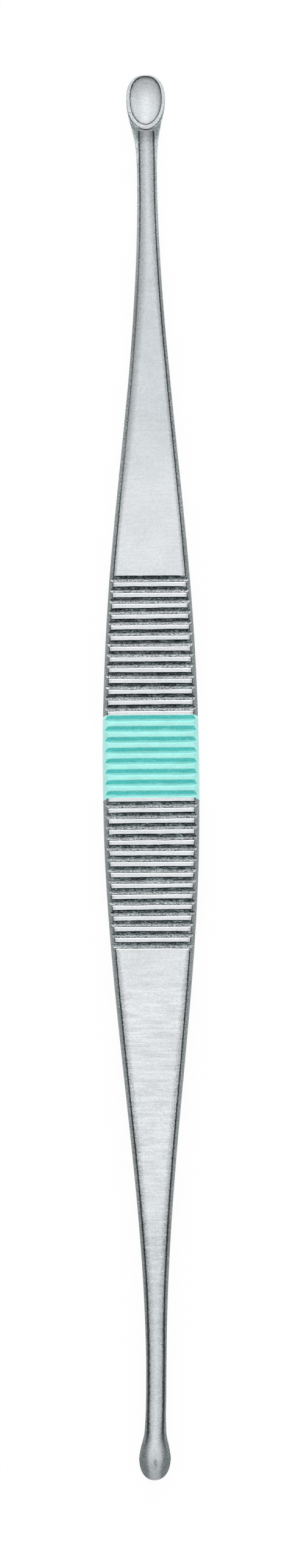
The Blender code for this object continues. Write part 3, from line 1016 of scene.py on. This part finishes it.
# Places along the tool in mm: where each mask is 0 and where it is 1
ALONG = {
    "oval_end": (40.0, 60.0),
    "oval_half": (30.0, 40.0),
    "oval_neck": (56.0, 61.0),
    "oval_flare": (60.5, 62.5),
    "oval_spoon": (40.0, 50.0),
    "cavity_tip": (67.2, 69.6),
    "cavity_foot": (67.4, 65.0),
    "upper_dull": (25.0, 38.0),
    "upper_start": (20.0, 30.0),
    "upper_stop": (48.0, 38.0),
    "soft_start": (22.0, 34.0),
    "soft_stop": (60.0, 48.0),
    "lower_ribs": (-1.0, -3.0),
    "lower_taper": (-16.0, -24.0),
    "lower_dull": (-39.0, -51.0),
    "round_end": (-45.0, -58.0),
    "round_neck": (-50.0, -60.0),
    "bulb": (-66.0, -68.2),
}

# The same, from the foot of the oval bowl
OVAL_FOOT = TOOL_LENGTH / 2 - OVAL["bowl_length"]
PAST_FOOT = {"rim_foot": (2.3, 1.0), "outline": (0.0, 1.5), "bowl": (-0.4, 0.0)}
UNDER_RIM_SHADE_PLACES = (OVAL_FOOT - 2.1 * MM, OVAL_FOOT - 0.1 * MM)
UNDER_RIM_SHADE_RAGGED = 2.6 * MM

# Distances in mm from the outer edge of a rim, negative on the rim itself
FROM_RIM = {
    "outside": (-0.01, 0.03),
    "line": (-0.05, -0.01),
    "outline_start": (-0.07, 0.0),
    "outline_stop": (0.15, 0.05),
    "rim_start": (-0.8, -0.6),
    "rim_stop": (0.06, 0.02),
}

# The painted shade line under the rim has these widths at these distances from the middle, and it
# is full over this share of its width
RIM_LINE_FROM_MIDDLE = (0.6 * MM, 1.3 * MM)
RIM_LINE_WIDTHS = (0.13 * MM, 0.36 * MM)
RIM_LINE_FULL = 0.4

# How far a normal is turned away, where a side, a groove's wall or the bulb's side starts and ends
SIDE_TURN = (0.30, 0.70)
WALL_TURN = (0.30, 0.60)
BULB_TURN = (0.40, 0.72)
BULB_TURN_ALONG = math.sqrt(0.27)
CUP_OUTLINE_TURN = (0.70, 0.95)
BULB_OUTLINE_TURN = (0.72, 0.95)

RIB_REACH = GROOVE_PITCH * (GROOVE_COUNT - 1) / 2 + GROOVE_WIDTH / 2
RIB_FADE = 0.1 * MM

# Half width of the painted shade line along each long edge, and what places add to it or shift
# it by
CREASE_LINE = 0.085 * MM
CAVITY_CREASE_MORE = 0.19 * MM
RIB_CREASE_MORE = -0.025 * MM
LOWER_CREASE_MORE = 0.025 * MM
ROUND_NECK_CREASE_MORE = 0.065 * MM
ROUND_NECK_CREASE_SHIFT = 0.10 * MM
OVAL_NECK_CREASE_MORE = 0.035 * MM
OVAL_NECK_CREASE_SHIFT = 0.06 * MM
CREASE_FULL = 0.48
CREASE_RAGGED = (0.8, 1.3)

# How far the face beside the line is toned down with painted shade, and how soft the line is on
# the soft side
CREASE_TONE_REACH = 0.40 * MM
CREASE_TONE_START = 0.02 * MM
END_CREASE_TONE_MORE = 0.25 * MM
SOFT_SIDE_TONE_MORE = 0.38 * MM
SOFT_SIDE_LINE = 0.4
SOFT_SIDE_FADE = 0.2 * MM

# How strong the grain's light and dark is, and what places add to it
GRAININESS = 0.42
TAPER_GRAININESS = 0.28
RIM_GRAININESS = 0.6
EDGE_GRAININESS = (0.85, 2.0)
ROUND_NECK_GRAININESS = -1.5
EDGE_GRAIN_REACH = (0.70 * MM, 0.05 * MM)

# What the steel's tone is multiplied by where a mask is 1. The side entries lift the painted shade
# of the sides; the cavity, rim, outline and under-rim entries are painted shade.
TONES = {
    "upper_side": 1.18,
    "bulb": 1.07,
    "neck": 0.86,
    "under_rim_shade": 0.58,
    "flare_side": 1.45,
    "cavity_right_shade": 0.72,
    "neck_side": 1.85,
    "rim_outline_shade": 0.50,
    "cavity_tip": 0.78,
    "cavity_foot": 0.74,
    "bulb_specks": 0.74,
    "bulb_outline_shade": 0.42,
    "cup_outline_shade": 0.50,
}
# Strength of the painted shade beside the crease line, and on the round spoon's neck
BESIDE_TONES = (0.52, 0.40)
RIPPLES = (0.65, 0.15)
SIDE_GRAIN = (2.6, 4.4)

# The brushing inside the oval cup goes round it, in this many arcs to its radius
ARCS = 30.0
ARC_NOISE = (1.6, 2.0, 0.6)
ARC_TONES = (0.90, 1.06)
ARC_DEPTH = 0.10

# Streaks on the grooves' walls of painted shade, painted glints on their walls of painted light,
# and the painted shade and highlight lines along the ribs
STREAK_RANGE = (0.42, 0.60)
STREAK_TONES = (0.12, 2.4)
STREAK_PATCH_RANGE = (0.40, 0.60)
STREAK_PATCH_TONES = (0.6, 1.5)
SPARKLE_RANGE = (0.44, 0.53)
SPARKLE_TONES = (0.06, 1.35)
LOWER_STREAKS = 1.5
LOWER_SPARKLES = 0.86
RIB_LINE_RANGE = (0.35, 0.85)
RIB_LINE_BREAK = 2.0
RIB_LINE_SHARE = 0.94

# How far the bends carry the middle of each spoon sideways
OVAL_BEND = -0.05 * MM
ROUND_BEND = -0.22 * MM

# A small dark pit in the round spoon's back, and how soft its edge is as a share of its size
PIT_PLACE = (0.06 * MM + ROUND_BEND, -68.64 * MM)
PIT_HALF_SIZE = (0.16 * MM, 0.40 * MM)
PIT_SOFT = 0.45
PIT_GRAIN = (0.45, 0.57, 0.12, 0.58)

STEEL_ROUGHNESS = (0.27, 0.35)
STEEL_BUMP = 0.0025 * MM


def crease_shade_masks(g, gap, crease, at, noise, masks):
    """Painted shade: a line along each long edge, and a softer tone on the face beside it."""
    line_half = g.raised(
        CREASE_LINE,
        (at.round_neck, ROUND_NECK_CREASE_MORE),
        (masks.in_ribs, RIB_CREASE_MORE),
        (at.lower_taper, LOWER_CREASE_MORE),
        (masks.hollow, CAVITY_CREASE_MORE),
        (g.times(at.oval_neck, masks.solid), OVAL_NECK_CREASE_MORE),
    )
    ragged = g.less(g.add(noise.grain, noise.fine, noise.coarse), 1.5)
    ragged_reach = g.times(line_half, g.turn(masks.at_ends, *CREASE_RAGGED))
    rough_gap = g.raised(gap, (ragged, ragged_reach))
    line_shift = g.raised(
        g.times(at.round_neck, ROUND_NECK_CREASE_SHIFT), (at.oval_neck, OVAL_NECK_CREASE_SHIFT)
    )
    line_gap = g.raised(rough_gap, (line_shift, masks.solid))
    line = g.span(g.math("DIVIDE", g.size(line_gap), line_half), 1.0, CREASE_FULL)
    line = g.times(line, crease, g.turn(masks.soft_side, 1.0, SOFT_SIDE_LINE))
    reach = g.raised(
        CREASE_TONE_REACH,
        (masks.tapering, END_CREASE_TONE_MORE),
        (masks.soft_side, SOFT_SIDE_TONE_MORE),
    )
    beside = g.flip(g.math("MINIMUM", g.math("DIVIDE", rough_gap, reach), 1.0))
    on_the_face = g.span(rough_gap, -CREASE_TONE_START, CREASE_TONE_START)
    return line, g.times(beside, on_the_face, crease, g.turn(masks.in_ribs, 1.0, 0.5))


def arc_brushing(g, across, along):
    """Tone of the brushing that goes round the oval cup."""
    inputs = {0: g.times(g.radius(across, along), ARCS), 1: g.math("ARCTAN2", along, across), 2: 0.0}
    turned = g.new("CombineXYZ", inputs).outputs[0]
    return g.vary(g.noise(turned, *ARC_NOISE), *ARC_TONES)


def pit_mask(g, x, y):
    """1 inside the pit and 0 outside."""
    across = g.math("DIVIDE", g.less(x, PIT_PLACE[0]), PIT_HALF_SIZE[0])
    along = g.math("DIVIDE", g.less(y, PIT_PLACE[1]), PIT_HALF_SIZE[1])
    return g.span(g.radius(across, along), 1.0 + PIT_SOFT, 1.0 - PIT_SOFT)


def steel_material():
    g = Graph("satin_steel")
    place = g.place()
    x, y, _ = g.split(place)
    nx, ny, nz = g.normal()
    gap, crease, hollow, rib_line, rim_gap = [g.attribute(label) for label in SURFACE_VALUES]
    noise = g.noises(place, STEEL_NOISES)
    at = g.spans(y, ALONG)
    past_foot = g.spans(y, PAST_FOOT, OVAL_FOOT)
    from_rim = g.spans(rim_gap, FROM_RIM)

    # Where the surface is: in a cavity, on a side, in a groove, on the round bulb
    solid = g.flip(hollow)
    side = g.times(g.span(g.size(nx), *SIDE_TURN), solid)
    on_face = g.flip(side)
    in_ribs = g.span(g.size(g.less(y, GROOVES_CENTRE)), RIB_REACH + RIB_FADE, RIB_REACH)
    dark_wall = g.times(g.span(g.times(ny, -1.0), *WALL_TURN), in_ribs)
    bright_wall = g.times(g.span(ny, *WALL_TURN), in_ribs)
    bulb = g.times(at.bulb, solid)
    at_ends = g.math("MAXIMUM", at.oval_end, at.round_end)
    tapering = g.math("MAXIMUM", at_ends, at.lower_taper)
    upper_taper = g.times(at.upper_start, at.upper_stop)
    on_left = g.span(x, SOFT_SIDE_FADE, -SOFT_SIDE_FADE)
    soft_side = g.times(at.soft_start, at.soft_stop, on_left)
    masks = Named({
        "hollow": hollow, "solid": solid, "in_ribs": in_ribs, "at_ends": at_ends,
        "tapering": tapering, "soft_side": soft_side,
    })
    line, beside = crease_shade_masks(g, gap, crease, at, noise, masks)

    # The necks are toned darker than the grip, and the steel just under the oval rim darker still,
    # as painted shade
    neck = g.math("MAXIMUM", at.upper_dull, at.lower_dull)
    under_rim_shade_edge = g.raised(y, (g.less(noise.coarse, 0.5), UNDER_RIM_SHADE_RAGGED))
    under_rim_shade = g.times(g.span(under_rim_shade_edge, *UNDER_RIM_SHADE_PLACES), from_rim.outside, g.span(nz, 0.3, 0.8))

    # Painted shade: a dark line runs under the oval rim at its foot, and another follows it round
    # the bowl
    from_middle = g.size(g.less(x, OVAL_BEND))
    rim_line_reach = g.span(from_middle, *RIM_LINE_FROM_MIDDLE, *RIM_LINE_WIDTHS)
    rim_line = g.span(rim_gap, rim_line_reach, g.times(rim_line_reach, RIM_LINE_FULL))
    rim_foot = g.times(from_rim.line, rim_line, past_foot.rim_foot, at.oval_spoon)
    rim_outline_shade = g.times(from_rim.outline_start, from_rim.outline_stop, past_foot.outline)

    base = g.mix(neck, STEEL_FACE, STEEL_NECK)
    # Painted shade on the sides
    base = g.mix(side, base, STEEL_SIDE_SHADE)
    # Painted shade and painted light on the grooves' walls, by the way they face
    base = g.mix(dark_wall, base, STEEL_WALL_PAINTED_SHADE)
    base = g.mix(bright_wall, base, STEEL_WALL_PAINTED_LIGHT)
    # Painted light in the cavity
    base = g.mix(hollow, base, STEEL_HOLLOW_PAINTED_LIGHT)
    away = g.radius(nx, g.times(ny, BULB_TURN_ALONG))
    # Painted shade towards the bulb's sides
    base = g.mix(g.times(bulb, g.span(away, *BULB_TURN)), base, STEEL_BULB_SIDE_SHADE)
    # Painted shade along the creases and under the oval rim
    base = g.mix(g.times(line, g.span(noise.fine, 0.62, 0.45, 0.65, 1.0)), base, STEEL_CREASE_SHADE)
    base = g.mix(g.times(rim_foot, 0.9), base, STEEL_CREASE_SHADE)

    # The grain is stronger along the edges, on the tapers and on the rim
    near_edge = g.times(g.span(g.size(gap), *EDGE_GRAIN_REACH), g.flip(in_ribs), solid)
    edge_grain = g.turn(at.lower_taper, *EDGE_GRAININESS)
    edge_grain = g.raised(edge_grain, (at.round_neck, ROUND_NECK_GRAININESS))
    on_rim = g.times(from_rim.rim_start, from_rim.rim_stop, past_foot.bowl)
    graininess = g.raised(
        GRAININESS, (near_edge, edge_grain), (tapering, TAPER_GRAININESS), (on_rim, RIM_GRAININESS)
    )
    centred_grain = g.less(g.add(noise.grain, noise.fine), 1.0)

    across = g.math("DIVIDE", g.less(x, OVAL_BEND), OVAL["bowl_width"] / 2)
    along = g.less(y, TOOL_LENGTH / 2 - OVAL["tip_reach"])
    along = g.math("DIVIDE", along, OVAL["bowl_length"] / 2)
    brushing = arc_brushing(g, across, along)
    # Painted shade towards the outlines of the cup and the bulb, as the surface turns from the view
    turned_away = g.new("LayerWeight", {"Blend": 0.5}).outputs["Facing"]
    toned = {
        "upper_side": g.times(side, upper_taper),
        "bulb": bulb,
        "neck": neck,
        "under_rim_shade": under_rim_shade,
        "flare_side": g.times(side, at.oval_flare),
        # Painted shade in the cavity towards its right, its tip and its foot
        "cavity_right_shade": g.times(hollow, g.span(across, 0.40, 0.85)),
        "neck_side": g.times(side, at_ends, at.oval_half),
        "rim_outline_shade": rim_outline_shade,
        "cavity_tip": g.times(hollow, at.cavity_tip),
        "cavity_foot": g.times(hollow, at.cavity_foot),
        "bulb_specks": g.times(g.span(noise.grain, 0.46, 0.40), bulb, g.span(nz, 0.90, 0.65)),
        "bulb_outline_shade": g.times(bulb, g.span(turned_away, *BULB_OUTLINE_TURN)),
        "cup_outline_shade": g.times(solid, at.oval_flare, g.span(turned_away, *CUP_OUTLINE_TURN)),
    }
    tone = g.times(
        g.raised(1.0, (centred_grain, graininess)),
        g.vary(noise.coarse, 0.955, 1.045),
        g.vary(noise.brushed, 0.965, 1.03),
        g.vary(noise.cloud, 0.965, 1.03),
        g.swing(noise.ripples, at.lower_taper, g.turn(at.round_neck, *RIPPLES)),
        g.swing(noise.side_grain, side, g.turn(upper_taper, *SIDE_GRAIN)),
        g.flip(g.times(beside, g.turn(at.round_neck, *BESIDE_TONES))),
        g.span(g.times(hollow, g.flip(brushing)), 0.0, ARC_DEPTH, 1.0, 1.0 - ARC_DEPTH),
        *(g.turn(toned[name], 1.0, factor) for name, factor in TONES.items()),
    )

    # Torn streaks on the grooves' walls of painted shade, and painted glints on their walls of painted
    # light
    dark_tone = g.times(
        g.span(noise.streak, *STREAK_RANGE, *STREAK_TONES),
        g.span(noise.patch, *STREAK_PATCH_RANGE, *STREAK_PATCH_TONES),
        g.turn(at.lower_ribs, 1.0, LOWER_STREAKS),
    )
    bright_tone = g.times(
        g.span(noise.sparkle, *SPARKLE_RANGE, *SPARKLE_TONES),
        g.turn(at.lower_ribs, 1.0, LOWER_SPARKLES),
    )
    walls = g.times(
        g.raised(1.0, (dark_wall, g.less(dark_tone, 1.0))),
        g.raised(1.0, (bright_wall, g.less(bright_tone, 1.0))),
    )
    pit = g.times(pit_mask(g, x, y), g.span(nz, 0.2, 0.3))
    pit_tone = g.flip(g.times(pit, g.span(noise.grain, *PIT_GRAIN)))
    base = g.shade(base, g.times(tone, walls, pit_tone))

    # Broken painted lines along the ribs: painted shade at both edges of a groove and a painted
    # highlight on its burr
    broken = g.times(g.less(noise.patch, 0.5), RIB_LINE_BREAK)
    rib_line = g.raised(rib_line, (broken, g.size(rib_line)))
    burr_highlight = g.times(g.span(rib_line, *RIB_LINE_RANGE), on_face)
    rib_edge_shade = g.times(g.span(g.times(rib_line, -1.0), *RIB_LINE_RANGE), on_face)
    base = g.mix(burr_highlight, base, STEEL_BURR_HIGHLIGHT)
    base = g.mix(g.times(rib_edge_shade, RIB_LINE_SHARE), base, STEEL_RIB_SHADE_LINE)

    # The torn lower walls of the grooves scatter light more than they mirror it
    scatter = g.raised(0.0, (bright_wall, 0.85), (hollow, 0.60), (bulb, 0.55))
    rough = g.raised(
        g.vary(noise.coarse, *STEEL_ROUGHNESS),
        (side, 0.14), (dark_wall, 0.20), (bright_wall, 0.15), (hollow, 0.24), (bulb, 0.22),
    )
    height = g.raised(
        noise.brushed,
        (noise.long_brushed, 0.8),
        (noise.grain, 1.6),
        (g.times(noise.sparkle, bright_wall), 9.0),
        (g.times(noise.streak, dark_wall), 7.0),
        (pit, -12.0),
    )
    g.surface({
        "Base Color": base,
        "Metallic": g.flip(scatter),
        "Roughness": rough,
        "Normal": g.bump(height, STEEL_BUMP),
    })
    return g.material


COAT_LAND = (0.345, 0.765, 0.715, 1.0)
# Painted shade in the coat's grooves
COAT_GROOVE_SHADE = (0.075, 0.560, 0.530, 1.0)
COAT_NOISES = {
    "cloud": ((0.35, 1.0, 1.0), 1400.0, 3.0, 0.6),
    "speckle": ((0.5, 1.0, 1.0), 9000.0, 3.0, 0.7),
    "patch": ((0.3, 1.0, 1.0), 3200.0, 2.0, 0.6),
    "ripple": ((0.3, 1.0, 1.0), 2600.0, 2.0, 0.5),
}
COAT_PATCHINESS = 1.6
COAT_MOTTLE = (0.30, 1.3)
COAT_ROUGHNESS = (0.22, 0.32)
COAT_BUMP = 0.006 * MM


def coat_material():
    g = Graph("turquoise_coat")
    noise = g.noises(g.place(), COAT_NOISES)
    face = g.span(g.size(g.normal()[0]), 0.75, 0.45)
    dark = g.attribute("coat_dark")
    dark = g.raised(dark, (g.times(g.less(noise.patch, 0.5), dark), COAT_PATCHINESS))
    deep = g.times(g.span(dark, 0.05, 0.95), face)
    mottle = g.swing(noise.speckle, g.turn(deep, *COAT_MOTTLE))
    # Painted shade darkens the coat in its grooves
    colour = g.mix(deep, COAT_LAND, COAT_GROOVE_SHADE)
    height = g.raised(noise.ripple, (g.times(noise.speckle, deep), 0.7))
    g.surface({
        "Base Color": g.shade(colour, g.times(mottle, g.vary(noise.cloud, 0.95, 1.05))),
        "Roughness": g.vary(noise.cloud, *COAT_ROUGHNESS),
        "Coat Weight": 0.4,
        "Coat Roughness": 0.18,
        "Normal": g.bump(height, COAT_BUMP),
    })
    return g.material


# The camera looks down, tilted towards the round spoon and a little rolled. The photo has this
# many pixels to the metre, and the tool's middle is this many off the photo's.
PHOTO_SCALE = 16.754 / MM
PHOTO_HEIGHT = 2576
VIEW_PITCH = math.radians(11.0)
VIEW_ROLL = math.radians(0.47)
VIEW_DISTANCE = 1.2
SENSOR = 36.0
MIDDLE_RIGHT = 1.7
MIDDLE_UP = 22.3
CLIP = (0.01, 20.0)


def make_camera():
    data = bpy.data.cameras.new("camera")
    camera = add_object("camera", data)
    back = Vector((0.0, -math.sin(VIEW_PITCH), math.cos(VIEW_PITCH)))
    up_plain = Vector((0.0, math.cos(VIEW_PITCH), math.sin(VIEW_PITCH)))
    right_plain = Vector((1.0, 0.0, 0.0))
    up = up_plain * math.cos(VIEW_ROLL) + right_plain * math.sin(VIEW_ROLL)
    right = right_plain * math.cos(VIEW_ROLL) - up_plain * math.sin(VIEW_ROLL)
    middle = Vector((0.0, 0.0, CENTRE_HEIGHT))
    aim = middle - right * (MIDDLE_RIGHT / PHOTO_SCALE) - up * (MIDDLE_UP / PHOTO_SCALE)
    axes = Matrix((right, up, back)).transposed().to_4x4()
    axes.translation = aim + back * VIEW_DISTANCE
    camera.matrix_world = axes
    data.sensor_width = SENSOR
    data.lens = SENSOR * VIEW_DISTANCE * PHOTO_SCALE / PHOTO_HEIGHT
    data.clip_start, data.clip_end = CLIP
    bpy.context.scene.camera = camera


FLOOR_HALF = 4.0
FLOOR_COLOUR = (0.93, 0.93, 0.93, 1.0)
FLOOR_GLOW = 0.94


def make_floor():
    """A pale floor that shows nearly white to the camera and in the steel."""
    mesh = bpy.data.meshes.new("floor")
    corners = [(x * FLOOR_HALF, y * FLOOR_HALF, 0.0) for x, y in ((-1, -1), (1, -1), (1, 1), (-1, 1))]
    mesh.from_pydata(corners, [], [(0, 1, 2, 3)])
    floor = add_object("floor", mesh)
    g = Graph("white_floor")
    g.nodes.remove(g.shader)
    path = g.new("LightPath").outputs
    seen = g.math("MAXIMUM", path["Is Camera Ray"], path["Is Glossy Ray"], path["Is Transmission Ray"])
    diffuse = g.new("BsdfDiffuse", {"Color": FLOOR_COLOUR})
    glow = g.new("Emission", {"Strength": 1.0})
    blend = g.new("MixShader", {0: g.times(seen, FLOOR_GLOW), 1: diffuse.outputs[0], 2: glow.outputs[0]})
    g.put(g.nodes["Material Output"].inputs["Surface"], blend.outputs[0])
    mesh.materials.append(g.material)


# Brightness of the sky against the height it is seen at: 0 straight down, 0.5 level, 1 straight up
SKY_STOPS = ((0.0, 1.0), (0.495, 1.0), (0.502, 0.49), (0.62, 0.55), (0.82, 0.76), (1.0, 0.73))

# Each lamp's place, the place it points at, its size and the brightness of its surface
LAMPS = {
    "overhead": ((0.0, 0.50, 1.0), (0.0, 0.50, 0.0), (1.5, 2.0), 0.63),
    "low_end": ((0.0, 0.95, 0.30), (0.0, 0.0, 0.0), (1.2, 0.30), 4.4),
}


def make_lights():
    world = bpy.data.worlds.new("studio")
    bpy.context.scene.world = world
    world.use_nodes = True
    nodes = world.node_tree.nodes
    links = world.node_tree.links
    background = nodes["Background"]
    coordinates = nodes.new("ShaderNodeTexCoord")
    split = nodes.new("ShaderNodeSeparateXYZ")
    height = nodes.new("ShaderNodeMapRange")
    height.inputs["From Min"].default_value = -1.0
    sky = nodes.new("ShaderNodeValToRGB")
    stops = sky.color_ramp.elements
    stops[0].position, stops[1].position = SKY_STOPS[0][0], SKY_STOPS[-1][0]
    for position, _ in SKY_STOPS[1:-1]:
        stops.new(position)
    for stop, (_, level) in zip(stops, SKY_STOPS):
        stop.color = (level, level, level, 1.0)
    links.new(coordinates.outputs["Generated"], split.inputs[0])
    links.new(split.outputs["Z"], height.inputs["Value"])
    links.new(height.outputs["Result"], sky.inputs["Fac"])
    links.new(sky.outputs["Color"], background.inputs["Color"])
    background.inputs["Strength"].default_value = 1.0

    for name, (place, aim, size, brightness) in LAMPS.items():
        data = bpy.data.lights.new(name, "AREA")
        data.shape = "RECTANGLE"
        data.size, data.size_y = size
        data.energy = math.pi * brightness * size[0] * size[1]
        lamp = add_object(name, data)
        lamp.location = place
        lamp.rotation_euler = (Vector(aim) - Vector(place)).to_track_quat("-Z", "Y").to_euler()


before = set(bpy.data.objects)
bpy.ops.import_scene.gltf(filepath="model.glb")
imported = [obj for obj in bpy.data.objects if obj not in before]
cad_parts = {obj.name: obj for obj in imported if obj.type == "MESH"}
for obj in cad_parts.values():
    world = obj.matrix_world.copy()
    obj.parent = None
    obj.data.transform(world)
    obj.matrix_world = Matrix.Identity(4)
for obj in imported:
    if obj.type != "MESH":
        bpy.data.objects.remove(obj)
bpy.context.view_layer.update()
bpy.context.scene.view_settings.view_transform = "Standard"

make_camera()
make_floor()
make_lights()

steel = make_steel()
steel.data.materials.append(steel_material())
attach(steel, "root")
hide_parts("handle", "oval_spoon", "round_spoon")

coat = make_coat()
coat.data.materials.append(coat_material())
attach(coat, "root")
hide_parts("colour_band")
